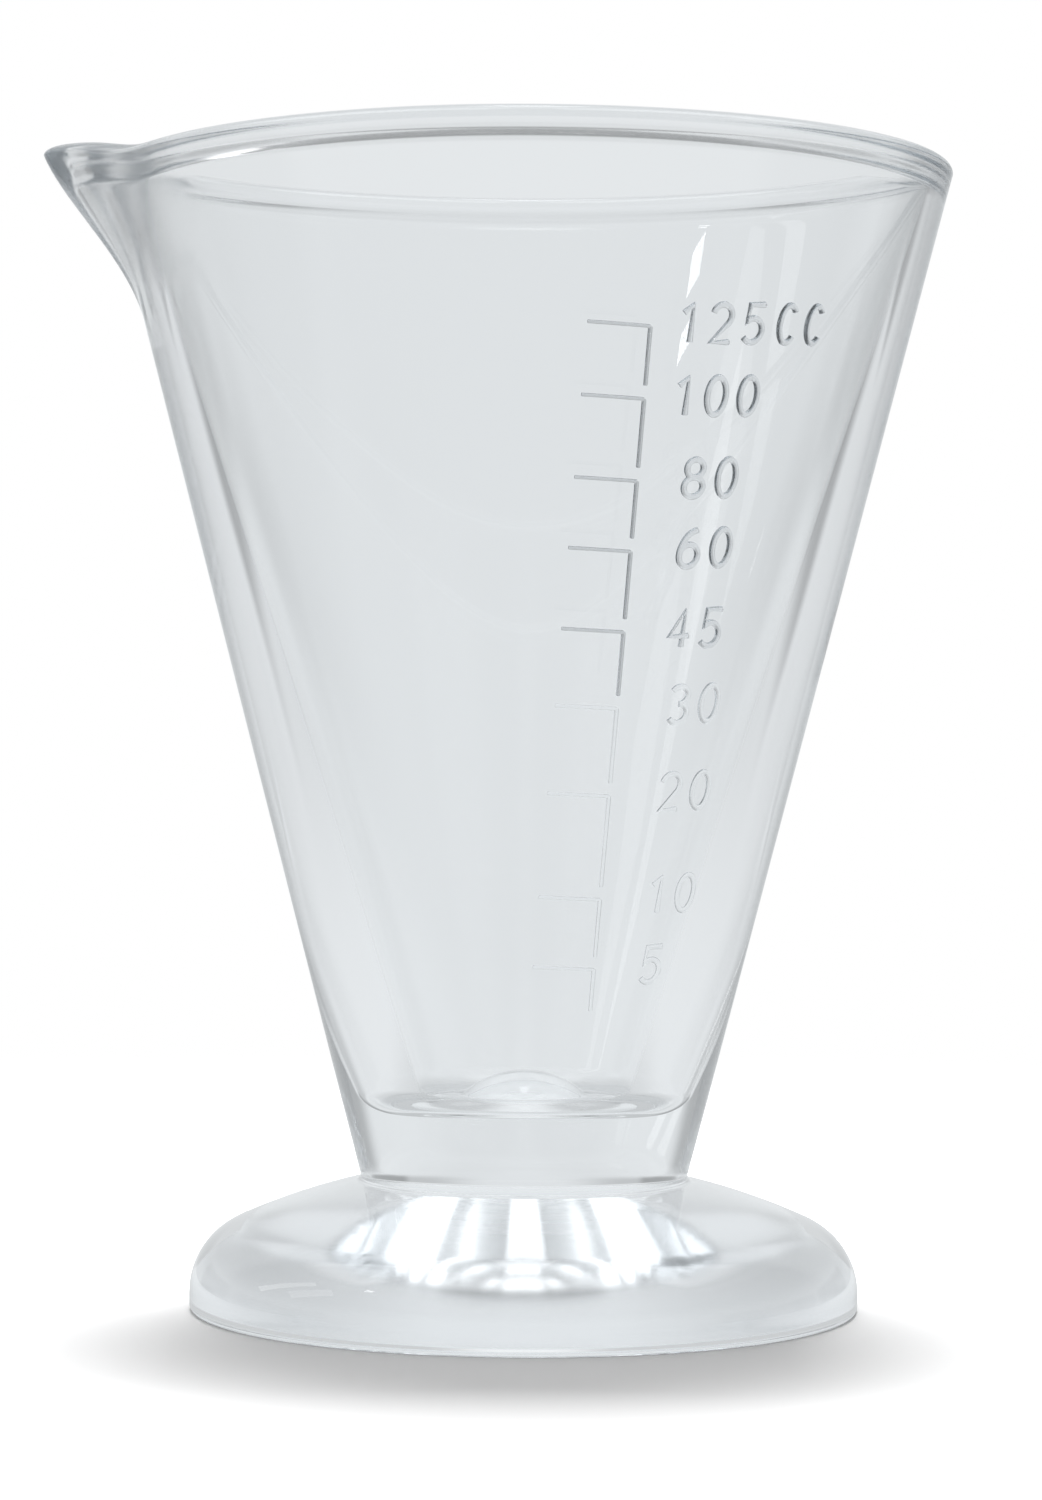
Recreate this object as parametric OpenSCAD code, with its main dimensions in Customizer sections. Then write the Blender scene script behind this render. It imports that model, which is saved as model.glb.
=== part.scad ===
// Conical measuring glass on a round foot, with a pouring spout and a raised scale.
// The axis of the cone is Z and the table is at Z = 0. The spout points to -X and the scale faces -Y.

/* [Foot] */
// Diameter of the round foot at its widest
foot_d = 66.6; // [58:0.2:76]
// Height of the foot, up to the joint with the stem
foot_h = 13.4; // [11.6:0.1:16]
// Height of the upright band round the edge of the foot
foot_band_h = 1.9; // [1.5:0.1:3.5]
// Radius that rounds the edge of the foot into its domed top
foot_edge_r = 7.4; // [4:0.1:8.5]
// Radius of the dome, in profile
foot_dome_r = 66; // [50:1:120]
// Radius of the bottom corner of the foot
foot_corner_r = 0.6; // [0.2:0.1:1.2]
// Radius of the hollow curve where the foot rises into the stem
neck_r = 0.7; // [0.4:0.1:1.5]
// Diameter of the shallow hollow under the foot
hollow_d = 50; // [30:1:54]
// Depth of the hollow under the foot, at its centre
hollow_depth = 1.2; // [0.4:0.1:2]

/* [Cone] */
// Outer diameter of the cone where it stands on the foot
stem_d = 32.7; // [28:0.1:36]
// Outer diameter of the cone at the level of the rim
rim_d = 84.7; // [76:0.1:94]
// Height of the rim above the table
rim_h = 113.9; // [108:0.1:126]
// Thickness of the wall at the rim, measured level and without the bead; it grows towards the floor
rim_wall = 2; // [1.6:0.1:3]
// How far the thickened rim stands in from the wall
bead = 1.4; // [0.4:0.1:1.8]
// Height over which the wall swells into the thickened rim
bead_rise = 2.2; // [1.2:0.1:3]
// Height of the rounding on top of the rim
lip_h = 1; // [0.8:0.1:2.5]
// Height of the bowl's floor above the table
floor_h = 21.2; // [17.5:0.1:24]
// Diameter of the bowl's inside at its floor, before the rounding there
floor_d = 20.8; // [18:0.2:24]
// Radius between the floor and the wall
floor_r = 3; // [1.5:0.1:4.5]
// Diameter of the raised button in the middle of the floor
button_d = 13.5; // [8:0.5:15]
// Height of the raised button
button_h = 3; // [0.5:0.1:3.5]

/* [Spout] */
// How far the tip stands out beyond the cone
spout_reach = 6.5; // [3:0.1:9]
// Height of the flare, from its start on the wall up to the rim
spout_drop = 17.5; // [12:0.1:21]
// How much thicker the wall is at the tip than round the rest of the rim
spout_wall = 2; // [0:0.1:3]
// Radius of the tip in plan, on the outside
spout_tip_r = 6.3; // [5:0.1:9]
// Rise of the tip above the sagging rim beside it
spout_lift = 2.4; // [0:0.1:3.5]
// Angle from the tip, each way, over which the rise dies out
spout_lift_span = 28; // [16:1:34]
// Sag of the rim beside the spout
rim_sag = 0.5; // [0:0.1:1]
// Angle from the tip, each way, over which the sag dies out
rim_sag_span = 90; // [60:5:120]

/* [Scale] */
// Angle of the scale's upright line, from -Y towards +X
scale_angle = 17.2; // [0:0.1:40]
// Height of the raised lines above the wall
line_relief = 0.35; // [0.2:0.05:0.6]
// Width of the level lines
tick_w = 0.5; // [0.3:0.05:0.8]
// Length of the level lines
tick_l = 6.1; // [4:0.1:8]
// Slope of the level lines down towards the upright line, in degrees
tick_slope = 2.6; // [0:0.1:4]
// Width of the upright lines
upright_w = 0.6; // [0.3:0.05:0.9]
// Clear height between an upright line and the next level line below it
upright_gap = 1; // [0.5:0.1:1.5]
// Length of the upright line under the lowest mark
last_upright = 4.2; // [2:0.1:6]

/* [Hidden] */
$fn = 96;
glass = [0.86, 0.89, 0.91, 0.55];
raised_glass = [0.70, 0.72, 0.73, 0.8];

// Volume in cubic centimetres and height above the bowl's floor of each mark, from the top down
marks = [
    [125, 73.3], [100, 66.8], [80, 59.4], [60, 53], [45, 45.6],
    [30, 38.5], [20, 30.3], [10, 20.5], [5, 13.8]
];
function mark_node(i) = str("mark_", marks[i][0]);
function mark_z(i) = floor_h + marks[i][1];

foot_r = foot_d / 2;
stem_r = stem_d / 2;
cone_taper = (rim_d - stem_d) / 2 / (rim_h - foot_h);
cone_angle = atan(cone_taper);
function outer_r(z) = stem_r + cone_taper * (z - foot_h);

// The inside tapers more than the outside, so the wall thickens from the rim down to the floor
inner_taper = (rim_d / 2 - rim_wall - floor_d / 2) / (rim_h - floor_h);
inner_angle = atan(inner_taper);
function inner_r(z) = floor_d / 2 + inner_taper * (z - floor_h);

// The rounding between floor and wall is an arc that touches both, and the wall's own length starts at its top end
floor_arc_z = floor_h + floor_r;
floor_arc_x = inner_r(floor_arc_z) - floor_r / cos(inner_angle);
seam_h = floor_arc_z - floor_r * sin(inner_angle);

// The foot's domed top is an arc that holds the edge round inside it and touches the neck curve from below
edge_c = [foot_r - foot_edge_r, foot_band_h];
neck_c = [stem_r + neck_r, foot_h];
edge_to_neck = neck_c - edge_c;
dome_to_edge = foot_dome_r - foot_edge_r;
dome_to_neck = foot_dome_r + neck_r;
neck_span = norm(edge_to_neck);
dome_turn = acos((pow(dome_to_edge, 2) + pow(neck_span, 2) - pow(dome_to_neck, 2)) / (2 * dome_to_edge * neck_span));
dome_bearing = atan2(edge_to_neck[1], edge_to_neck[0]) + dome_turn;
dome_c = edge_c + dome_to_edge * [cos(dome_bearing), sin(dome_bearing)];
edge_dir = (edge_c - dome_c) / dome_to_edge;
neck_dir = (neck_c - dome_c) / dome_to_neck;

// Radius of the ball whose cap has the given half width and height
function cap_r(half_w, rise) = (half_w * half_w + rise * rise) / (2 * rise);

// Spout: each level cut is a circle joined by two tangents to the small circle of the tip
spout_start = rim_h - spout_drop;
flare_power = 1.5;
lip_z = rim_h - lip_h;
bead_z = lip_z - bead_rise;
function smooth(t) = let (u = min(max(t, 0), 1)) u * u * (3 - 2 * u);
function flare(z) = pow(smooth((z - spout_start) / spout_drop), flare_power);
function beaded_r(z) = inner_r(z) - bead * smooth((z - bead_z) / bead_rise);
function rise(angle) =
    spout_lift * smooth(1 - abs(angle) / spout_lift_span) - rim_sag * smooth(1 - abs(angle) / rim_sag_span);
function plan_r(angle, circle_r, tip_r, reach) =
    let (
        a = abs(angle),
        tip_x = circle_r + reach - tip_r,
        touch = acos(min(1, (circle_r - tip_r) / tip_x)),
        tip_touch = atan2(tip_r * sin(touch), tip_x + tip_r * cos(touch))
    )
    a >= touch ? circle_r :
    a >= tip_touch ? circle_r / cos(touch - a) :
    tip_x * cos(a) + sqrt(tip_r * tip_r - pow(tip_x * sin(a), 2));
function outer_plan(angle, z) = plan_r(angle, outer_r(z), spout_tip_r, spout_reach * flare(z));
function inner_plan(angle, z) =
    plan_r(angle, beaded_r(z), spout_tip_r - outer_r(z) + beaded_r(z), (spout_reach - spout_wall) * flare(z));

// Angles of the bowl's uprights, counted from the spout: close together there and wider apart elsewhere
fine_step = 1.5;
coarse_step = 6;
fine_span = 36;
bowl_angles = concat(
    [for (a = [-fine_span : fine_step : fine_span - fine_step / 2]) a],
    [for (a = [fine_span : coarse_step : 360 - fine_span - coarse_step / 2]) a]
);
flare_steps = 8;
bead_steps = 4;
lip_steps = 8;
wall_levels = concat(
    [seam_h, spout_start],
    [for (i = [1 : flare_steps]) spout_start + (bead_z - spout_start) * i / flare_steps],
    [for (i = [1 : bead_steps]) bead_z + bead_rise * i / bead_steps]
);

// One cut through the wall at an angle: up the outside, over the rounded rim and down the inside
function bowl_cut(a) =
    let (
        turn = a > 180 ? a - 360 : a,
        out = outer_plan(turn, lip_z),
        in = inner_plan(turn, lip_z),
        n = len(wall_levels) - 1
    )
    concat(
        [for (z = wall_levels) [outer_plan(turn, z), z + rise(turn) * flare(z)]],
        [for (i = [1 : lip_steps - 1]) let (t = 180 * i / lip_steps)
            [(out + in) / 2 + (out - in) / 2 * cos(t), lip_z + lip_h * sin(t) + rise(turn) * flare(lip_z)]],
        [for (i = [n : -1 : 0]) let (z = wall_levels[i]) [inner_plan(turn, z), z + rise(turn) * flare(z)]]
    );

module bowl() {
    cuts = [for (a = bowl_angles) bowl_cut(a)];
    n = len(cuts[0]);
    m = len(cuts);
    points = [for (k = [0 : m - 1]) for (p = cuts[k])
        [-p[0] * cos(bowl_angles[k]), -p[0] * sin(bowl_angles[k]), p[1]]];
    faces = [for (k = [0 : m - 1]) for (i = [0 : n - 1])
        let (a = k * n + i, b = k * n + (i + 1) % n, c = (k + 1) % m * n + i, d = (k + 1) % m * n + (i + 1) % n)
        each [[a, b, d], [a, d, c]]];
    color(glass) polyhedron(points, faces);
}

module stem() {
    color(glass) rotate_extrude() {
        difference() {
            polygon([[0, foot_h], [stem_r, foot_h], [outer_r(seam_h), seam_h], [0, seam_h]]);
            polygon([[0, floor_h], [floor_arc_x, floor_h], [inner_r(seam_h), seam_h], [0, seam_h]]);
            translate([floor_arc_x, floor_arc_z]) circle(r = floor_r);
        }
        cap(button_d / 2, button_h, floor_h);
    }
}

// Half of a round cap in profile, standing on the level z
module cap(half_w, cap_h, z) {
    ball_r = cap_r(half_w, cap_h);
    intersection() {
        translate([0, z + cap_h - ball_r]) circle(r = ball_r);
        translate([0, z]) square([half_w, cap_h]);
    }
}

module foot_profile() {
    difference() {
        union() {
            polygon([
                [0, 0], [foot_r - foot_corner_r, 0], [foot_r, foot_corner_r], [foot_r, foot_band_h],
                edge_c + foot_edge_r * edge_dir, neck_c - neck_r * neck_dir, [stem_r, foot_h], [0, foot_h]
            ]);
            intersection() {
                translate(dome_c) circle(r = foot_dome_r);
                polygon([
                    edge_c + foot_edge_r * edge_dir, edge_c + 2 * foot_edge_r * edge_dir,
                    neck_c + foot_edge_r * neck_dir, neck_c - neck_r * neck_dir
                ]);
            }
            intersection() {
                translate(edge_c) circle(r = foot_edge_r);
                translate([0, foot_band_h]) square([foot_r, foot_edge_r]);
            }
            translate([foot_r - foot_corner_r, foot_corner_r]) circle(r = foot_corner_r);
        }
        translate(neck_c) circle(r = neck_r);
        cap(hollow_d / 2, hollow_depth, 0);
    }
}

module foot() {
    color(glass) rotate_extrude() foot_profile();
}

// Thin layer on the outside of the wall, as thick as the raised lines
module relief_layer(bottom, top) {
    rotate_extrude() polygon([
        [outer_r(bottom), bottom], [outer_r(bottom) + line_relief, bottom],
        [outer_r(top) + line_relief, top], [outer_r(top), top]
    ]);
}

// A level line with an upright line hanging from its right-hand end
module mark(i) {
    z = mark_z(i);
    upright = i < len(marks) - 1 ? z - mark_z(i + 1) - upright_gap : last_upright;
    depth = outer_r(z) + tick_l;
    color(raised_glass) intersection() {
        relief_layer(z - upright - tick_l, z + tick_l);
        rotate([0, 0, scale_angle - 90]) translate([0, 0, z]) {
            rotate([-tick_slope, 0, 0]) translate([0, -tick_l, -tick_w / 2]) cube([depth, tick_l, tick_w]);
            translate([0, -upright_w / 2, -upright]) cube([depth, upright_w, upright]);
        }
    }
}

bowl();
stem();
foot();
for (i = [0 : len(marks) - 1])
    mark(i);
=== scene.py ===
import math

import bmesh
import bpy
from mathutils import Matrix, Vector


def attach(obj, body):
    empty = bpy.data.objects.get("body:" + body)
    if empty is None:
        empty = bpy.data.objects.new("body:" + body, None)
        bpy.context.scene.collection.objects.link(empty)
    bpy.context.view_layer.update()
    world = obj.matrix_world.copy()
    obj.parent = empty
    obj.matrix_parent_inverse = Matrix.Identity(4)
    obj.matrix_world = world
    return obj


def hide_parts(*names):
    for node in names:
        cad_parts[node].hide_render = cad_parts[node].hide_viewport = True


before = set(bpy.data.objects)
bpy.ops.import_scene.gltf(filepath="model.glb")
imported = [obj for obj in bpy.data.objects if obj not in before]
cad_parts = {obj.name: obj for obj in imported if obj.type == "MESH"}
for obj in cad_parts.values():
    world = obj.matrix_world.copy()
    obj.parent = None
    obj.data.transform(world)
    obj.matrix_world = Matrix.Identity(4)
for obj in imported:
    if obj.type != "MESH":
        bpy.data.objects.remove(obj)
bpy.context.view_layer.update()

MM = 0.001
BODY = "root"

# Sizes of the glass in millimetres, as in the solids
FOOT_R = 33.3
FOOT_H = 13.4
FOOT_BAND_H = 1.9
FOOT_EDGE_R = 7.4
FOOT_DOME_R = 66.0
FOOT_CORNER_R = 0.6
NECK_R = 0.7
HOLLOW_R = 25.0
HOLLOW_DEPTH = 1.2
STEM_R = 16.35
RIM_R = 42.35
RIM_H = 113.9
RIM_WALL = 2.0
FLOOR_H = 21.2
FLOOR_HALF_W = 10.4
FLOOR_R = 3.0
BUTTON_R = 6.75
BUTTON_H = 3.0
BEAD = 1.4
BEAD_RISE = 2.2
LIP_H = 1.0
SPOUT_REACH = 6.5
SPOUT_WALL = 2.0
SPOUT_DROP = 17.5
FLARE_POWER = 1.5
SPOUT_TIP_R = 6.3
SPOUT_LIFT = 2.4
SPOUT_LIFT_SPAN = 28.0
RIM_SAG = 0.5
RIM_SAG_SPAN = 90.0

# The raised scale, in millimetres and degrees
MARKS = (125, 100, 80, 60, 45, 30, 20, 10, 5)
MARK_Z = (94.5, 88.0, 80.6, 74.2, 66.8, 59.7, 51.5, 41.7, 35.0)
SCALE_ANGLE = 17.2
TICK_L = 6.1
TICK_SLOPE = 2.6
UPRIGHT_GAP = 1.0
LAST_UPRIGHT = 4.2
RELIEF = 0.35
SUNK = 0.06
TICK_RIB = 0.36
UPRIGHT_RIB = 0.42
# The marks from this one on are worn
WORN_FROM = 5
# How much of the relief is left on each mark's lines and on its number, from the top down
LINE_LEFT = (1, 1, 1, 1, 0.9, 0.3, 0.25, 0.2, 0.2)
NUMBER_LEFT = (1, 1, 1, 1, 0.9, 0.6, 0.5, 0.3, 0.25)

CONE_TAPER = (RIM_R - STEM_R) / (RIM_H - FOOT_H)
CONE_ANGLE = math.atan(CONE_TAPER)
INNER_TAPER = (RIM_R - RIM_WALL - FLOOR_HALF_W) / (RIM_H - FLOOR_H)
INNER_ANGLE = math.atan(INNER_TAPER)
SPOUT_START = RIM_H - SPOUT_DROP
LIP_Z = RIM_H - LIP_H

# How finely the skin is divided: round the axis, closer at the spout, and along each stretch of its section
TURN_STEPS = 500
TURN_FINE = 0.7
HOLLOW_STEPS = 40
REST_STEPS = 3
CORNER_STEPS = 6
BAND_STEPS = 2
EDGE_STEPS = 36
DOME_STEPS = 36
NECK_STEPS = 14
WALL_STEPS = 16
FLARE_STEPS = 20
BEAD_STEPS = 14
RIM_STEPS = 16
INNER_STEPS = 14
FLOOR_ARC_STEPS = 28
FLOOR_STEPS = 3
BUTTON_STEPS = 36
NEAR_END = 0.02
WALL_POINTS = WALL_STEPS + 1
FLARE_POINTS = FLARE_STEPS + BEAD_STEPS + 1

# The painted edge shade of the outer wall leaves out the flared wall up to this many degrees from the spout
SPOUT_SPREAD = 50
# The rim, and most of all the lip of the spout, is less smooth than the wall. These are shares of the
# ground roughness, with the degrees from the spout and the heights over which they fade in
SOFT_RIM = 1.0
SOFT_RIM_Z = 109.5
SOFT_RIM_RISE = 2
SOFT_LIP = 1.3
SOFT_LIP_SPAN = 45
SOFT_LIP_FADE = 18
SOFT_LIP_Z = 98
SOFT_LIP_RISE = 6


def outer_r(z):
    return STEM_R + CONE_TAPER * (z - FOOT_H)


def inner_r(z):
    return FLOOR_HALF_W + INNER_TAPER * (z - FLOOR_H)


def smooth(t):
    u = min(max(t, 0.0), 1.0)
    return u * u * (3 - 2 * u)


def flare(z):
    return smooth((z - SPOUT_START) / SPOUT_DROP) ** FLARE_POWER


def plan_r(angle, circle_r, tip_r, reach):
    """Radius of a circle that two tangents join to the small circle of the spout's tip."""
    a = abs(angle)
    tip_x = circle_r + reach - tip_r
    touch = math.acos(min(1.0, (circle_r - tip_r) / tip_x))
    tip_touch = math.atan2(tip_r * math.sin(touch), tip_x + tip_r * math.cos(touch))
    if a >= touch:
        return circle_r
    if a >= tip_touch:
        return circle_r / math.cos(touch - a)
    return tip_x * math.cos(a) + math.sqrt(tip_r ** 2 - (tip_x * math.sin(a)) ** 2)


def spread(start, end, count):
    """Evenly spaced values from start to end, both included."""
    return [start + (end - start) * i / count for i in range(count + 1)]


def arc(centre, radius, start, end, count):
    """Points on an arc, in degrees, both ends included."""
    return [
        (centre[0] + radius * math.cos(math.radians(t)), centre[1] + radius * math.sin(math.radians(t)))
        for t in spread(start, end, count)
    ]


def line(a, b, count):
    """Points between two ends, which are left out, with one close to each end to keep the shading flat."""
    steps = [NEAR_END] + spread(0, 1, count)[1:-1] + [1 - NEAR_END]
    return [(a[0] + (b[0] - a[0]) * t, a[1] + (b[1] - a[1]) * t) for t in steps]


def dome_centre(edge_c, neck_c):
    """Centre of the arc that touches the edge's round from outside and the neck's curve from below."""
    to_edge = FOOT_DOME_R - FOOT_EDGE_R
    to_neck = FOOT_DOME_R + NECK_R
    across = (neck_c[0] - edge_c[0], neck_c[1] - edge_c[1])
    span = math.hypot(*across)
    turn = math.acos((to_edge ** 2 + span ** 2 - to_neck ** 2) / (2 * to_edge * span))
    angle = math.atan2(across[1], across[0]) + turn
    return (edge_c[0] + to_edge * math.cos(angle), edge_c[1] + to_edge * math.sin(angle))


def foot_section():
    """From the middle of the underside, round the edge of the foot and up to the joint with the stem."""
    ball_r = (HOLLOW_R ** 2 + HOLLOW_DEPTH ** 2) / (2 * HOLLOW_DEPTH)
    hollow = [
        (r, HOLLOW_DEPTH - ball_r + math.sqrt(ball_r ** 2 - r ** 2))
        for r in spread(0, HOLLOW_R, HOLLOW_STEPS)[1:]
    ]
    corner = arc((FOOT_R - FOOT_CORNER_R, FOOT_CORNER_R), FOOT_CORNER_R, -90, 0, CORNER_STEPS)
    edge_c = (FOOT_R - FOOT_EDGE_R, FOOT_BAND_H)
    neck_c = (STEM_R + NECK_R, FOOT_H)
    dome_c = dome_centre(edge_c, neck_c)
    top = math.degrees(math.atan2(neck_c[1] - dome_c[1], neck_c[0] - dome_c[0]))
    side = math.degrees(math.atan2(edge_c[1] - dome_c[1], edge_c[0] - dome_c[0]))
    edge = arc(edge_c, FOOT_EDGE_R, 0, side, EDGE_STEPS)
    dome = arc(dome_c, FOOT_DOME_R, side, top, DOME_STEPS)[1:-1]
    neck = arc(neck_c, NECK_R, top + 180, 180, NECK_STEPS)
    return (
        hollow + line(hollow[-1], corner[0], REST_STEPS) + corner
        + line(corner[-1], edge[0], BAND_STEPS) + edge + dome + neck
    )


def wall_section(angle):
    """Up the outside of the cone, over the rim and down the inside to the middle of the floor."""
    turn = math.degrees(abs(angle))
    lift = SPOUT_LIFT * smooth(1 - turn / SPOUT_LIFT_SPAN) - RIM_SAG * smooth(1 - turn / RIM_SAG_SPAN)

    def outside(z):
        return (plan_r(angle, outer_r(z), SPOUT_TIP_R, SPOUT_REACH * flare(z)), z + lift * flare(z))

    def inside(z):
        bead = BEAD * smooth((z - LIP_Z + BEAD_RISE) / BEAD_RISE)
        inner = inner_r(z) - bead
        tip_r = SPOUT_TIP_R - (outer_r(z) - inner)
        return (plan_r(angle, inner, tip_r, (SPOUT_REACH - SPOUT_WALL) * flare(z)), z + lift * flare(z))

    bead_z = LIP_Z - BEAD_RISE
    levels = spread(SPOUT_START, bead_z, FLARE_STEPS)[:-1] + spread(bead_z, LIP_Z, BEAD_STEPS)
    outer_lip = outside(LIP_Z)[0]
    inner_lip = inside(LIP_Z)[0]
    mid = (outer_lip + inner_lip) / 2
    half = (outer_lip - inner_lip) / 2
    rim = [
        (mid + half * c, z)
        for c, z in (
            (math.cos(math.radians(t)), LIP_Z + LIP_H * math.sin(math.radians(t)) + lift * flare(LIP_Z))
            for t in spread(0, 180, RIM_STEPS)[1:-1]
        )
    ]
    arc_z = FLOOR_H + FLOOR_R
    arc_c = (inner_r(arc_z) - FLOOR_R / math.cos(INNER_ANGLE), arc_z)
    corner = arc(arc_c, FLOOR_R, -math.degrees(INNER_ANGLE), -90, FLOOR_ARC_STEPS)
    button_ball = (BUTTON_R ** 2 + BUTTON_H ** 2) / (2 * BUTTON_H)
    button = [
        (r, FLOOR_H + BUTTON_H - button_ball + math.sqrt(button_ball ** 2 - r ** 2))
        for r in spread(BUTTON_R, 0, BUTTON_STEPS)[:-1]
    ]
    return (
        line((STEM_R, FOOT_H), outside(SPOUT_START), WALL_STEPS) + [outside(z) for z in levels] + rim
        + [inside(z) for z in reversed(levels)] + line(inside(SPOUT_START), corner[0], INNER_STEPS)
        + corner + line(corner[-1], button[0], FLOOR_STEPS) + button
    )


def turn_of(k):
    """Angle of an upright of the mesh; they stand closer together at the spout."""
    even = 2 * math.pi * k / TURN_STEPS
    return even - TURN_FINE * math.sin(even)


def link(name, mesh, material):
    """An object for a mesh, with its material, riding on the glass."""
    obj = bpy.data.objects.new(name, mesh)
    bpy.context.scene.collection.objects.link(obj)
    mesh.materials.append(material)
    for face in mesh.polygons:
        face.use_smooth = True
    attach(obj, BODY)
    return obj


def set_finish(mesh, verts, foot_points, points, under):
    """Marks the plain outer wall, which gets painted shade at a grazing angle, and how much of the ground
    roughness each point has.
    """
    for name in (OUTSIDE, GROUND):
        mesh.attributes.new(name, "FLOAT", "POINT")
    outside = mesh.attributes[OUTSIDE].data
    ground = mesh.attributes[GROUND].data
    for i in range(TURN_STEPS * points):
        k, step = divmod(i, points)
        from_spout = 180 - abs(180 - math.degrees(turn_of(k)))
        plain = WALL_POINTS + (FLARE_POINTS if from_spout >= SPOUT_SPREAD else 0)
        outside[i].value = 1.0 if foot_points <= step < foot_points + plain else 0.0
        z = verts[i][2] / MM
        near_spout = smooth((SOFT_LIP_SPAN - from_spout) / SOFT_LIP_FADE)
        lip = SOFT_LIP * near_spout * smooth((z - SOFT_LIP_Z) / SOFT_LIP_RISE)
        rim = SOFT_RIM * smooth((z - SOFT_RIM_Z) / SOFT_RIM_RISE)
        ground[i].value = 1.0 if step < HOLLOW_STEPS else max(lip, rim)
    ground[under].value = 1.0


def make_glass(material):
    """The whole pressing as one closed skin, because light passes its joints without a break."""
    foot = foot_section()
    verts = []
    for k in range(TURN_STEPS):
        turn = turn_of(k)
        angle = turn if turn <= math.pi else turn - 2 * math.pi
        section = foot + wall_section(angle)
        verts += [(-r * math.cos(turn) * MM, -r * math.sin(turn) * MM, z * MM) for r, z in section]
    n = len(section)
    under = len(verts)
    verts.append((0, 0, HOLLOW_DEPTH * MM))
    top = len(verts)
    verts.append((0, 0, (FLOOR_H + BUTTON_H) * MM))
    faces = []
    for k in range(TURN_STEPS):
        a = k * n
        b = (k + 1) % TURN_STEPS * n
        faces.append((under, b, a))
        faces += [(a + i, b + i, b + i + 1, a + i + 1) for i in range(n - 1)]
        faces.append((top, a + n - 1, b + n - 1))
    mesh = bpy.data.meshes.new("glass")
    mesh.from_pydata(verts, [], faces)
    mesh.update()
    set_finish(mesh, verts, len(foot), n, under)
    glass = link("glass", mesh, material)
    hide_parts("bowl", "stem", "foot")


# Degrees between the points of a figure's round strokes
STROKE_STEP = 10


def oval(x, y, rx, ry, start, end):
    """Points on part of an oval, in degrees, in a numeral's own square."""
    count = int(abs(end - start) / STROKE_STEP)
    return [
        (x + rx * math.cos(math.radians(t)), y + ry * math.sin(math.radians(t)))
        for t in spread(start, end, count)
    ]


# Strokes of each figure, as wide as 0.56 and as tall as 1
W = 0.56
FIGURES = {
    "0": [oval(W / 2, 0.5, W / 2, 0.5, 90, 450)],
    "1": [[(0.0, 0.78), (0.24, 1.0), (0.24, 0.0)]],
    "2": [oval(W / 2, 0.70, W / 2, 0.30, 165, -38) + [(0.0, 0.0), (W, 0.0)]],
    "3": [oval(W / 2, 0.76, W / 2 * 0.92, 0.24, 150, -90), oval(W / 2, 0.26, W / 2, 0.26, 90, -150)],
    "4": [[(W * 0.72, 0.0), (W * 0.72, 1.0), (0.0, 0.30), (W * 1.05, 0.30)]],
    "5": [[(W, 1.0), (0.10, 1.0), (0.04, 0.52)] + oval(W * 0.46, 0.32, W * 0.54, 0.32, 128, -145)],
    "6": [oval(W / 2, 0.30, W / 2, 0.30, 90, 450), oval(W * 0.98, 0.30, W * 0.98, 0.70, 180, 98)],
    "8": [oval(W / 2, 0.76, W / 2 * 0.86, 0.24, 90, 450), oval(W / 2, 0.26, W / 2, 0.26, 90, 450)],
    "C": [oval(W / 2, 0.5, W / 2, 0.5, 42, 318)],
}
# A figure's height, its strokes' width and the way to the next figure, in millimetres
FIGURE_H = 3.5
FIGURE_W = 0.62
ADVANCE = 3.5
ADVANCE_ONE = 2.95
UNIT_GAP = 0.5
# Where the numbers start, in degrees, and how far that drifts for each millimetre down the wall
LABEL_ANGLE = 21.6
LABEL_DRIFT = 0.147
LABEL_TILT = 3.0
LABEL_RISE = 0.35
# Shift of each number along the girth, from the top down; they aren't quite in line
LABEL_SHIFT = (0.3, 0.0, 0.95, 0.75, 0.15, 0.65, 0.45, 0.35, 0.0)
# The ribs' skin: half of a stroke's width is its radius
RIB_HALF = 0.5
RIB_ROUND = 5
RIB_VOXEL = 0.05
RIB_RELAX = 4


def ribs(name, strokes, widths):
    """Rounded ribs along flat strokes, merged into one closed skin, in millimetres."""
    curve = bpy.data.curves.new(name, "CURVE")
    curve.dimensions = "3D"
    curve.bevel_depth = RIB_HALF
    curve.bevel_resolution = RIB_ROUND
    curve.use_fill_caps = True
    for points, width in zip(strokes, widths):
        spline = curve.splines.new("POLY")
        spline.points.add(len(points) - 1)
        for p, (x, y) in zip(spline.points, points):
            p.co = (x, y, 0, 1)
            p.radius = width
    obj = bpy.data.objects.new(name, curve)
    bpy.context.scene.collection.objects.link(obj)
    mesh = bpy.data.meshes.new_from_object(obj.evaluated_get(bpy.context.evaluated_depsgraph_get()))
    bpy.data.objects.remove(obj)
    work = bpy.data.objects.new(name, mesh)
    bpy.context.scene.collection.objects.link(work)
    remesh = work.modifiers.new("skin", "REMESH")
    remesh.mode = "VOXEL"
    remesh.voxel_size = RIB_VOXEL
    relax = work.modifiers.new("relax", "SMOOTH")
    relax.iterations = RIB_RELAX
    skin = bpy.data.meshes.new_from_object(work.evaluated_get(bpy.context.evaluated_depsgraph_get()))
    bpy.data.objects.remove(work)
    return skin


def wrap(mesh, z, angle, rise):
    """Lays a flat skin on the cone: x along the wall's girth, y up its slope, z out of it."""
    for v in mesh.vertices:
        x, y, out = v.co
        level = z + y * math.cos(CONE_ANGLE)
        r = outer_r(level)
        a = math.radians(angle) + x / outer_r(z)
        h = max(out * rise, -SUNK)
        r += h * math.cos(CONE_ANGLE)
        level -= h * math.sin(CONE_ANGLE)
        v.co = Vector((r * math.sin(a), -r * math.cos(a), level)) * MM
    mesh.update()


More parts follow.
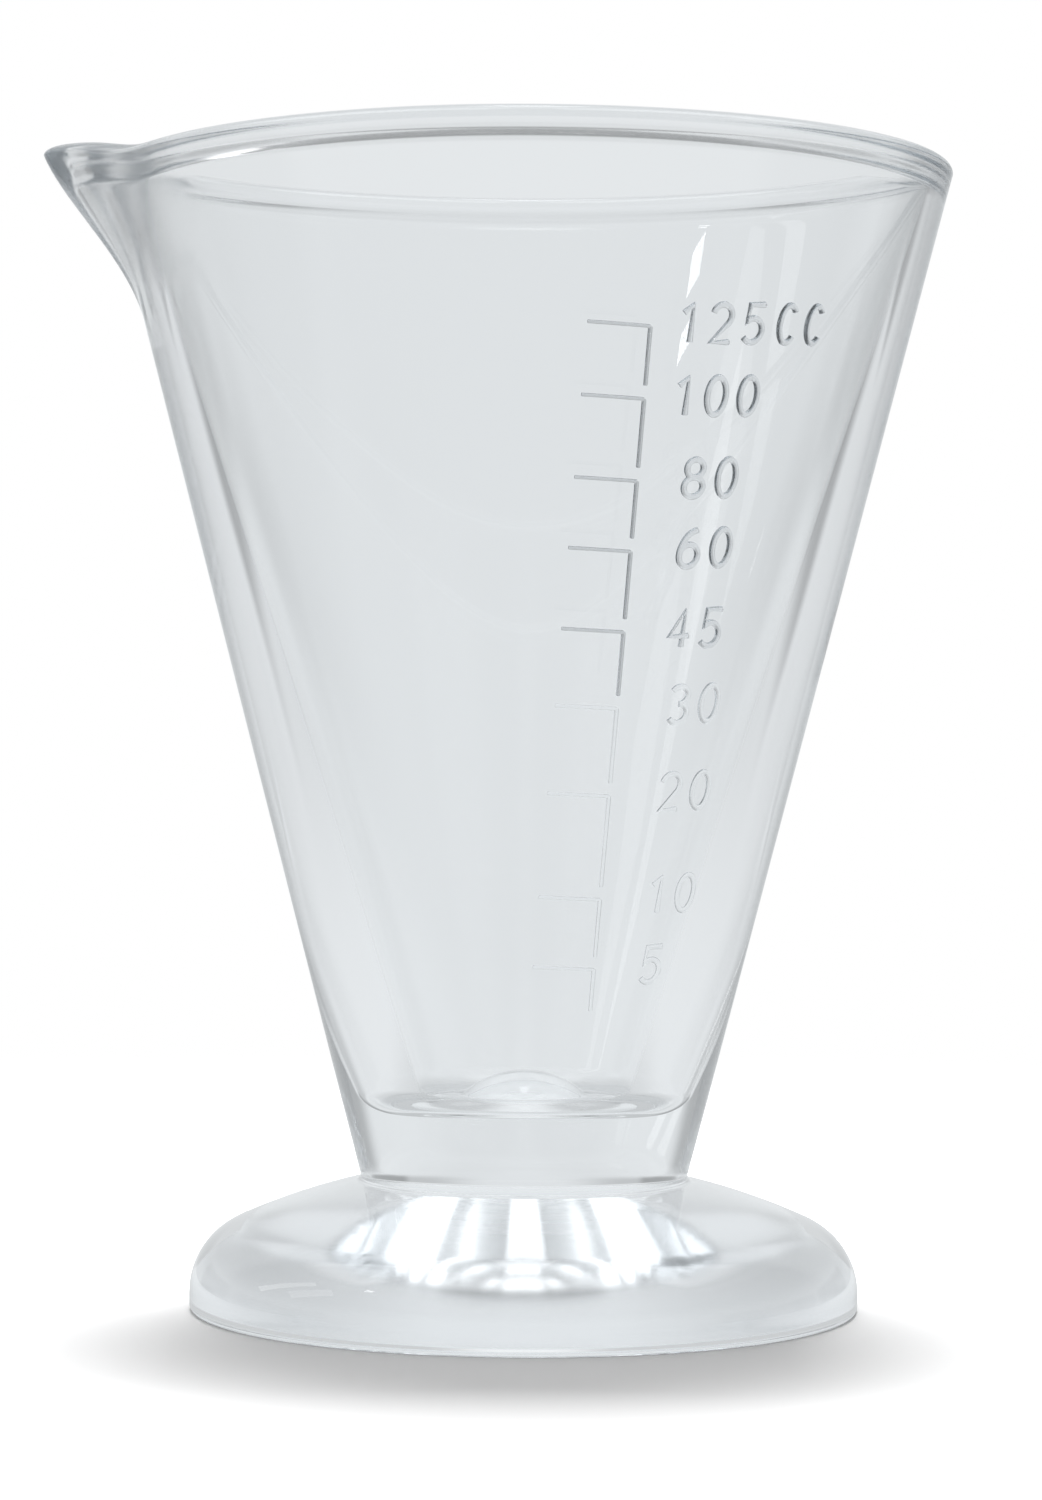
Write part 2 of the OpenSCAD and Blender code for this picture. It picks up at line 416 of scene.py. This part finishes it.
def make_mark(volume, z, upright, left, material):
    """A level line with an upright line hanging from its right-hand end."""
    drop = TICK_L * math.tan(math.radians(TICK_SLOPE))
    tick = [(-TICK_L + TICK_RIB / 2, drop), (0, 0)]
    down = [(0, 0), (0, (-upright + UPRIGHT_RIB / 2) / math.cos(CONE_ANGLE))]
    mesh = ribs("line", [tick, down], [TICK_RIB, UPRIGHT_RIB])
    wrap(mesh, z, SCALE_ANGLE, RELIEF * left / (UPRIGHT_RIB / 2))
    piece = link("line_%d" % volume, mesh, material)
    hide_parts("mark_%d" % volume)


def make_label(volume, z, shift, left, material):
    """The raised number beside a mark."""
    word = "%dCC" % volume if volume == MARKS[0] else "%d" % volume
    tilt = math.tan(math.radians(LABEL_TILT))
    strokes = []
    x = shift
    for i, figure in enumerate(word):
        if figure == "C" and word[i - 1] != "C":
            x += UNIT_GAP
        for points in FIGURES[figure]:
            flat = [(x + px * FIGURE_H, (py - 0.5) * FIGURE_H) for px, py in points]
            strokes.append([(px, py + px * tilt + LABEL_RISE) for px, py in flat])
        x += ADVANCE_ONE if figure == "1" else ADVANCE
    mesh = ribs("number", strokes, [FIGURE_W] * len(strokes))
    angle = LABEL_ANGLE + LABEL_DRIFT * (MARK_Z[0] - z)
    wrap(mesh, z, angle, RELIEF * left / (FIGURE_W / 2))
    link("number_%d" % volume, mesh, material)


# The glass's own tint
CLEAR_TINT = (0.985, 0.990, 0.993, 1)
# The lines and numbers are darker glass, painted shade for the dark look of their raised edges
LINE_PAINTED_SHADE = (0.70, 0.71, 0.72, 1)
NUMBER_PAINTED_SHADE = (0.86, 0.87, 0.88, 1)
# Painted shade that darkens the outer wall towards an edge that is seen at a grazing angle
EDGE_PAINTED_SHADE = (0.40, 0.41, 0.42, 1)
EDGE_BLEND = 0.5
EDGE_FROM = 0.70
EDGE_TO = 0.90
OUTSIDE = "outside"
GROUND = "ground"
GROUND_ROUGHNESS = 0.115
GLASS_IOR = 1.52
DEPTH_TINT = (0.72, 0.76, 0.79, 1)
DEPTH_DENSITY = 6.0
RIPPLE_SCALE = 40.0
RIPPLE_STRENGTH = 0.10


def glass_material(name):
    """Clear pressed glass, slightly uneven from the mould, without its tint and finish."""
    mat = bpy.data.materials.new(name)
    mat.use_nodes = True
    tree = mat.node_tree
    shader = tree.nodes["Principled BSDF"]
    shader.inputs["IOR"].default_value = GLASS_IOR
    shader.inputs["Transmission Weight"].default_value = 1.0
    absorb = tree.nodes.new("ShaderNodeVolumeAbsorption")
    absorb.inputs["Color"].default_value = DEPTH_TINT
    absorb.inputs["Density"].default_value = DEPTH_DENSITY
    tree.links.new(absorb.outputs["Volume"], tree.nodes["Material Output"].inputs["Volume"])
    where = tree.nodes.new("ShaderNodeTexCoord")
    ripple = tree.nodes.new("ShaderNodeTexNoise")
    ripple.inputs["Scale"].default_value = RIPPLE_SCALE
    ripple.inputs["Detail"].default_value = 0.0
    bump = tree.nodes.new("ShaderNodeBump")
    bump.inputs["Strength"].default_value = RIPPLE_STRENGTH
    bump.inputs["Distance"].default_value = MM
    tree.links.new(where.outputs["Object"], ripple.inputs["Vector"])
    tree.links.new(ripple.outputs["Fac"], bump.inputs["Height"])
    tree.links.new(bump.outputs["Normal"], shader.inputs["Normal"])
    return mat


def raised_material(name, tint_and_shade):
    """Glass of the lines and numbers with one base colour; a colour darker than the clear tint is painted
    shade.
    """
    mat = glass_material(name)
    shader = mat.node_tree.nodes["Principled BSDF"]
    shader.inputs["Base Color"].default_value = tint_and_shade
    shader.inputs["Roughness"].default_value = 0.0
    return mat


def skin_material(name):
    """Glass with ground parts, and a plain outer wall darkened by painted shade at a grazing angle."""
    mat = glass_material(name)
    tree = mat.node_tree
    shader = tree.nodes["Principled BSDF"]
    weight = tree.nodes.new("ShaderNodeLayerWeight")
    weight.inputs["Blend"].default_value = EDGE_BLEND
    outside = tree.nodes.new("ShaderNodeAttribute")
    outside.attribute_name = OUTSIDE
    grazing = tree.nodes.new("ShaderNodeMath")
    grazing.operation = "MULTIPLY"
    tree.links.new(weight.outputs["Facing"], grazing.inputs[0])
    tree.links.new(outside.outputs["Fac"], grazing.inputs[1])
    # Painted shade: the outer wall's colour darkens as it is seen more and more edge-on
    edge = tree.nodes.new("ShaderNodeValToRGB")
    edge.color_ramp.elements[0].position = EDGE_FROM
    edge.color_ramp.elements[0].color = CLEAR_TINT
    edge.color_ramp.elements[1].position = EDGE_TO
    edge.color_ramp.elements[1].color = EDGE_PAINTED_SHADE
    tree.links.new(grazing.outputs[0], edge.inputs["Fac"])
    tree.links.new(edge.outputs["Color"], shader.inputs["Base Color"])
    ground = tree.nodes.new("ShaderNodeAttribute")
    ground.attribute_name = GROUND
    rough = tree.nodes.new("ShaderNodeMath")
    rough.operation = "MULTIPLY"
    rough.inputs[1].default_value = GROUND_ROUGHNESS
    tree.links.new(ground.outputs["Fac"], rough.inputs[0])
    tree.links.new(rough.outputs[0], shader.inputs["Roughness"])
    return mat


class Nodes:
    """A node tree with short ways to add what the studio needs."""

    def __init__(self, tree):
        self.tree = tree
        tree.nodes.clear()

    def add(self, kind):
        return self.tree.nodes.new("ShaderNode" + kind)

    def join(self, value, socket):
        if isinstance(value, (int, float)):
            socket.default_value = value
        else:
            self.tree.links.new(value, socket)

    def math(self, operation, *values):
        node = self.add("Math")
        node.operation = operation
        for value, socket in zip(values, node.inputs):
            self.join(value, socket)
        return node.outputs[0]

    def ramp(self, value, start, end, low, high):
        """Low up to start, high from end on, and a smooth step between."""
        node = self.add("MapRange")
        node.interpolation_type = "SMOOTHSTEP"
        names = ("Value", "From Min", "From Max", "To Min", "To Max")
        for name, number in zip(names, (value, start, end, low, high)):
            self.join(number, node.inputs[name])
        return node.outputs[0]

    def blend(self, factor, low, high):
        """Low where the factor is 0 and high where it is 1."""
        node = self.add("Mix")
        for value, socket in zip((factor, low, high), (node.inputs[0], node.inputs[2], node.inputs[3])):
            self.join(value, socket)
        return node.outputs[0]

    def steps(self, value, first, *changes):
        """A level that changes smoothly at each (start, end, level after it)."""
        level = first
        for start, end, after in changes:
            level = self.blend(self.ramp(value, start, end, 0.0, 1.0), level, after)
        return level

    def clear_rays(self):
        """1 for rays that come from the glass, 0 for the camera's and the matte floor's."""
        path = self.add("LightPath")
        both = self.math("ADD", path.outputs["Is Glossy Ray"], path.outputs["Is Transmission Ray"])
        return self.math("MINIMUM", both, 1.0)


WHITE = (1, 1, 1, 1)
STUDIO_TINT = (0.955, 0.983, 1.0, 1)
# The table, in metres: whole up to one radius, and faded out at the other
TABLE_FULL_R = 0.10
TABLE_END_R = 0.32
TABLE_SEGMENTS = 96
TABLE_SHADE = (0.93, 0.93, 0.93, 1)
# Its levels of light as the glass sees it. Under the foot, painted shadow makes it darker to the sides than
# in the middle, where painted light makes it a little brighter
TABLE_IN_GLASS = 0.86
UNDER_X = (0.002, 0.009)
UNDER_SHADE_IN_GLASS = (0.91, 0.64)
UNDER_R = (0.030, 0.075)
# Painted shade that darkens the table's sides as the glass sees them
TABLE_SIDES = (0.06, 0.22)
SIDES_SHADE_IN_GLASS = 0.64


def make_floor():
    """A pale round table top that fades out into the white round it; the glass sees levels of its own, with
    painted shadow and light under the foot and painted shade at the sides.
    """
    bm = bmesh.new()
    bmesh.ops.create_circle(bm, cap_ends=True, segments=TABLE_SEGMENTS, radius=TABLE_END_R)
    mesh = bpy.data.meshes.new("floor")
    bm.to_mesh(mesh)
    bm.free()
    floor = bpy.data.objects.new("floor", mesh)
    bpy.context.scene.collection.objects.link(floor)
    mat = bpy.data.materials.new("pale_floor")
    mat.use_nodes = True
    kit = Nodes(mat.node_tree)
    out = kit.add("OutputMaterial")
    matte = kit.add("BsdfDiffuse")
    matte.inputs["Color"].default_value = TABLE_SHADE
    glow = kit.add("Emission")
    glow.inputs["Color"].default_value = STUDIO_TINT
    where = kit.add("TexCoord")
    reach = kit.add("VectorMath")
    reach.operation = "LENGTH"
    kit.join(where.outputs["Object"], reach.inputs[0])
    split = kit.add("SeparateXYZ")
    kit.join(where.outputs["Object"], split.inputs[0])
    aside = kit.math("ABSOLUTE", split.outputs["X"])
    under = kit.ramp(aside, *UNDER_X, *UNDER_SHADE_IN_GLASS)
    top = kit.blend(kit.ramp(reach.outputs["Value"], *UNDER_R, 0.0, 1.0), under, TABLE_IN_GLASS)
    sides = kit.ramp(aside, *TABLE_SIDES, 0.0, 1.0)
    kit.join(kit.blend(sides, top, SIDES_SHADE_IN_GLASS), glow.inputs["Strength"])
    seen = kit.add("MixShader")
    kit.join(kit.clear_rays(), seen.inputs["Fac"])
    kit.join(matte.outputs[0], seen.inputs[1])
    kit.join(glow.outputs[0], seen.inputs[2])
    clear = kit.add("BsdfTransparent")
    fade = kit.ramp(reach.outputs["Value"], TABLE_FULL_R, TABLE_END_R, 0.0, 1.0)
    mix = kit.add("MixShader")
    kit.join(fade, mix.inputs["Fac"])
    kit.join(seen.outputs[0], mix.inputs[1])
    kit.join(clear.outputs[0], mix.inputs[2])
    kit.join(mix.outputs[0], out.inputs["Surface"])
    mesh.materials.append(mat)


# The studio that the glass sees. Levels are of light, angles are from the +Y side in radians, and heights
# are sines. A run of levels is its first level, then each change: its start, its end and the level after it.
WALL_LEVEL = 0.83
UPPER_FROM = (0.12, 0.40)
UPPER = (0.77, (0.15, 0.40, 0.92), (0.80, 1.05, 0.44), (1.75, 1.95, 0.34))
BAND_FROM = (0.56, 0.66)
BAND = (0.32, (0.35, 0.60, 0.60), (1.75, 1.95, 0.34))
HIGH_FROM = (0.68, 0.78)
HIGH = (0.32, (0.35, 0.60, 0.60), (0.85, 1.05, 2.30), (1.75, 1.95, 0.34))
# The ceiling and the sides of the high zone are brighter than white, as a wide lamp overhead is
CEILING_FROM = (0.80, 0.90)
CEILING = (2.80, (0.14, 0.22, 0.52), (0.85, 1.05, 2.30), (2.80, 3.00, 0.50))
ZENITH_FROM = (0.965, 0.985)
ZENITH = 1.30
# Cards beside the glass draw its lines: each one's level, where it starts, where it ends, and its foot
PALE_CARD = (0.60, (0.12, 0.44), (0.92, 1.10), (-0.17, -0.07))
LINE_CARD = (0.38, (0.54, 0.62), (0.92, 1.10), (-0.175, -0.160))
DARK_CARD = (0.38, (0.64, 0.74), (0.92, 1.10), (-0.31, -0.26))
SIDE_CARD = (0.55, (1.02, 1.12), (1.85, 2.00), (-0.50, -0.44))
CARD_TOP = (0.10, 0.20)
# The light on matte surfaces
DIFFUSE_LEVEL = 0.58


def make_world():
    """White to the camera and a soft light to matte surfaces; the glass sees the studio."""
    world = bpy.data.worlds.new("studio")
    bpy.context.scene.world = world
    world.use_nodes = True
    kit = Nodes(world.node_tree)
    where = kit.add("TexCoord")
    split = kit.add("SeparateXYZ")
    kit.join(where.outputs["Generated"], split.inputs[0])
    x, y, z = split.outputs
    aside = kit.math("ABSOLUTE", kit.math("ARCTAN2", x, y))
    room = kit.steps(
        z, WALL_LEVEL, (*UPPER_FROM, kit.steps(aside, *UPPER)), (*BAND_FROM, kit.steps(aside, *BAND)),
        (*HIGH_FROM, kit.steps(aside, *HIGH)), (*CEILING_FROM, kit.steps(aside, *CEILING)),
        (*ZENITH_FROM, ZENITH)
    )
    for level, start, end, foot in (PALE_CARD, LINE_CARD, DARK_CARD, SIDE_CARD):
        width = kit.math("MULTIPLY", kit.ramp(aside, *start, 0.0, 1.0), kit.ramp(aside, *end, 1.0, 0.0))
        height = kit.math("MULTIPLY", kit.ramp(z, *foot, 0.0, 1.0), kit.ramp(z, *CARD_TOP, 1.0, 0.0))
        room = kit.blend(kit.math("MULTIPLY", width, height), room, level)
    studio = kit.add("Background")
    studio.inputs["Color"].default_value = STUDIO_TINT
    kit.join(room, studio.inputs["Strength"])
    path = kit.add("LightPath")
    plain = kit.add("Background")
    plain.inputs["Color"].default_value = WHITE
    kit.join(kit.blend(path.outputs["Is Camera Ray"], DIFFUSE_LEVEL, 1.0), plain.inputs["Strength"])
    seen = kit.add("MixShader")
    kit.join(kit.clear_rays(), seen.inputs["Fac"])
    kit.join(plain.outputs[0], seen.inputs[1])
    kit.join(studio.outputs[0], seen.inputs[2])
    out = kit.add("OutputWorld")
    kit.join(seen.outputs[0], out.inputs["Surface"])


def make_lamp(name, place, target, size, power, mirrored):
    """A soft rectangular lamp that looks at a point, and that the glass mirrors or not."""
    data = bpy.data.lights.new(name, "AREA")
    data.shape = "RECTANGLE"
    data.size, data.size_y = size
    data.energy = power
    lamp = bpy.data.objects.new(name, data)
    bpy.context.scene.collection.objects.link(lamp)
    lamp.location = place
    lamp.rotation_euler = (Vector(target) - Vector(place)).to_track_quat("-Z", "Y").to_euler()
    lamp.visible_camera = False
    lamp.visible_glossy = mirrored
    lamp.visible_transmission = False
    return lamp


def make_strip(name, start, end, width, glow):
    """A long lamp between two points, turned to the glass and seen through it too."""
    run = Vector(end) - Vector(start)
    middle = (Vector(end) + Vector(start)) / 2
    lamp = make_lamp(name, middle, STRIP_AIM, (width, run.length), glow * width * run.length, True)
    back = (middle - Vector(STRIP_AIM)).normalized()
    along = (run - run.dot(back) * back).normalized()
    turn = Matrix((along.cross(back), along, back)).transposed()
    lamp.rotation_euler = turn.to_euler()
    lamp.visible_transmission = True


# The lamps, in metres and watts. The key lamp is overhead, a little behind the glass
KEY_PLACE = (0, 0.17, 0.85)
KEY_AIM = (0, 0, 0.02)
KEY_SIZE = (0.30, 0.30)
KEY_POWER = 11.5
# A window with two panes, high up to the left of the camera
WINDOW_X = -0.672
WINDOW_Y = -0.332
PANE_W = 0.050
PANE_AIM = (0.016, 0.034, 0.10)
# How high each pane's middle stands, and how tall it is
PANES = ((0.6425, 0.0115), (0.676, 0.017))
# Watts to a square metre
PANE_GLOW = 21.7
# Two slanting strips of light at the left: where each starts and ends, its width, and its watts to a
# square metre
STRIP_AIM = (0.016, 0.018, 0.06)
STRIPS = (
    ((-0.67, -0.020, 0.475), (-0.67, 0.175, 0.215), 0.06, 4.2),
    ((-0.67, -0.170, 0.420), (-0.67, -0.010, 0.255), 0.10, 2.8),
)

# Light runs many times round inside the thick rim before it leaves the glass
LIGHT_BOUNCES = 128

# The photograph's frame, and what its perspective gives
PHOTO_H = 1500
PIXELS_PER_MM = 10.0
VIEW_PIXELS = 4000
VIEW_DISTANCE = VIEW_PIXELS / PIXELS_PER_MM
EYE_H = 57.2
AIM_H = 55.7
AIM_X = -0.53
SENSOR = 36.0
NEAR_CLIP = 0.01
ROLL = 0.31


def make_camera():
    """Level with the middle of the glass, square to the scale's side, with the photograph's slight lean."""
    data = bpy.data.cameras.new("camera")
    data.sensor_width = SENSOR
    data.lens = VIEW_PIXELS / PHOTO_H * SENSOR
    data.clip_start = NEAR_CLIP
    camera = bpy.data.objects.new("camera", data)
    bpy.context.scene.collection.objects.link(camera)
    place = Vector((AIM_X, -VIEW_DISTANCE, EYE_H)) * MM
    aim = Vector((AIM_X, 0, AIM_H)) * MM
    turn = (aim - place).to_track_quat("-Z", "Y").to_matrix().to_4x4()
    camera.matrix_world = Matrix.Translation(place) @ turn @ Matrix.Rotation(math.radians(ROLL), 4, "Z")
    bpy.context.scene.camera = camera


line_glass = raised_material("line_glass", LINE_PAINTED_SHADE)
number_glass = raised_material("number_glass", NUMBER_PAINTED_SHADE)
worn_glass = raised_material("worn_glass", CLEAR_TINT)
make_glass(skin_material("clear_glass"))
for i, (volume, z) in enumerate(zip(MARKS, MARK_Z)):
    last = i == len(MARKS) - 1
    upright = LAST_UPRIGHT if last else z - MARK_Z[i + 1] - UPRIGHT_GAP
    worn = i >= WORN_FROM
    make_mark(volume, z, upright, LINE_LEFT[i], worn_glass if worn else line_glass)
    make_label(volume, z, LABEL_SHIFT[i], NUMBER_LEFT[i], worn_glass if worn else number_glass)
make_floor()
make_world()
make_lamp("key", KEY_PLACE, KEY_AIM, KEY_SIZE, KEY_POWER, False)
for height, tall in PANES:
    place = (WINDOW_X, WINDOW_Y, height)
    make_lamp("pane", place, PANE_AIM, (PANE_W, tall), PANE_GLOW * PANE_W * tall, True)
for strip in STRIPS:
    make_strip("strip", *strip)
make_camera()
cycles = bpy.context.scene.cycles
cycles.max_bounces = LIGHT_BOUNCES
cycles.glossy_bounces = LIGHT_BOUNCES
cycles.transmission_bounces = LIGHT_BOUNCES
bpy.context.scene.view_settings.view_transform = "Standard"
